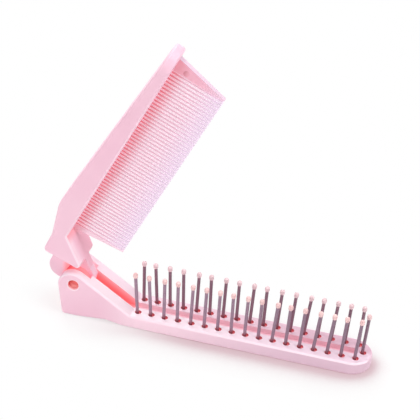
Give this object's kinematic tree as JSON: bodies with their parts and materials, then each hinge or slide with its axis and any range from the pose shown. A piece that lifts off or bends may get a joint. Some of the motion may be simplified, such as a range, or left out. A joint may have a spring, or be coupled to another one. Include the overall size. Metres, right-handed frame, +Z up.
{
  "type": "folding travel brush",
  "caption": "Pink plastic folding travel brush: a pin brush with ball-tipped pins, hinged at one end to a fine-tooth comb that folds down over the pins.",
  "frame": {"origin": "on the floor under the hinge axis, on the flat bottom of the brush's hinge block", "axes": "+X along the brush from the hinge to its free end, +Y across it, +Z up, the way the pins stand"},
  "size_m": [0.12, 0.0156, 0.1104],
  "materials": {
    "brush_pink": "slightly translucent pink, satin gloss",
    "comb_pink": "slightly translucent pink, satin gloss",
    "cover_pink": "pink, satin",
    "hinge_pink": "pink, satin",
    "pin_mauve": "mauve nylon, satin",
    "tip_peach": "pale peach-pink, smooth"
  },
  "bodies": {
    "brush_half": {"brush_body": "brush_pink", "back_cover": "cover_pink", "pin_retainer": "cover_pink", "hinge_pin": "hinge_pink", "pin_near_01": "pin_mauve", "pin_near_02": "pin_mauve", "pin_near_03": "pin_mauve", "pin_near_04": "pin_mauve", "pin_near_05": "pin_mauve", "pin_near_06": "pin_mauve", "pin_near_07": "pin_mauve", "pin_near_08": "pin_mauve", "pin_near_09": "pin_mauve", "pin_near_10": "pin_mauve", "pin_near_11": "pin_mauve", "pin_near_12": "pin_mauve", "pin_near_13": "pin_mauve", "pin_near_14": "pin_mauve", "pin_near_15": "pin_mauve", "pin_near_16": "pin_mauve", "pin_near_17": "pin_mauve", "pin_far_01": "pin_mauve", "pin_far_02": "pin_mauve", "pin_far_03": "pin_mauve", "pin_far_04": "pin_mauve", "pin_far_05": "pin_mauve", "pin_far_06": "pin_mauve", "pin_far_07": "pin_mauve", "pin_far_08": "pin_mauve", "pin_far_09": "pin_mauve", "pin_far_10": "pin_mauve", "pin_far_11": "pin_mauve", "pin_far_12": "pin_mauve", "pin_far_13": "pin_mauve", "pin_far_14": "pin_mauve", "pin_far_15": "pin_mauve", "pin_far_16": "pin_mauve", "pin_far_17": "pin_mauve", "pin_end": "pin_mauve", "near_row_tips": "tip_peach", "far_row_tips": "tip_peach", "end_tip": "tip_peach"},
    "comb_half": {"comb_spine": "comb_pink", "comb_blade": "comb_pink"}
  },
  "joints": [
    {"name": "fold", "type": "hinge", "parent": "brush_half", "child": "comb_half", "pos_m": [0, 0, 0.0134], "axis": [0, -1, 0], "range_deg": [-64.4, 115.6]}
  ]
}
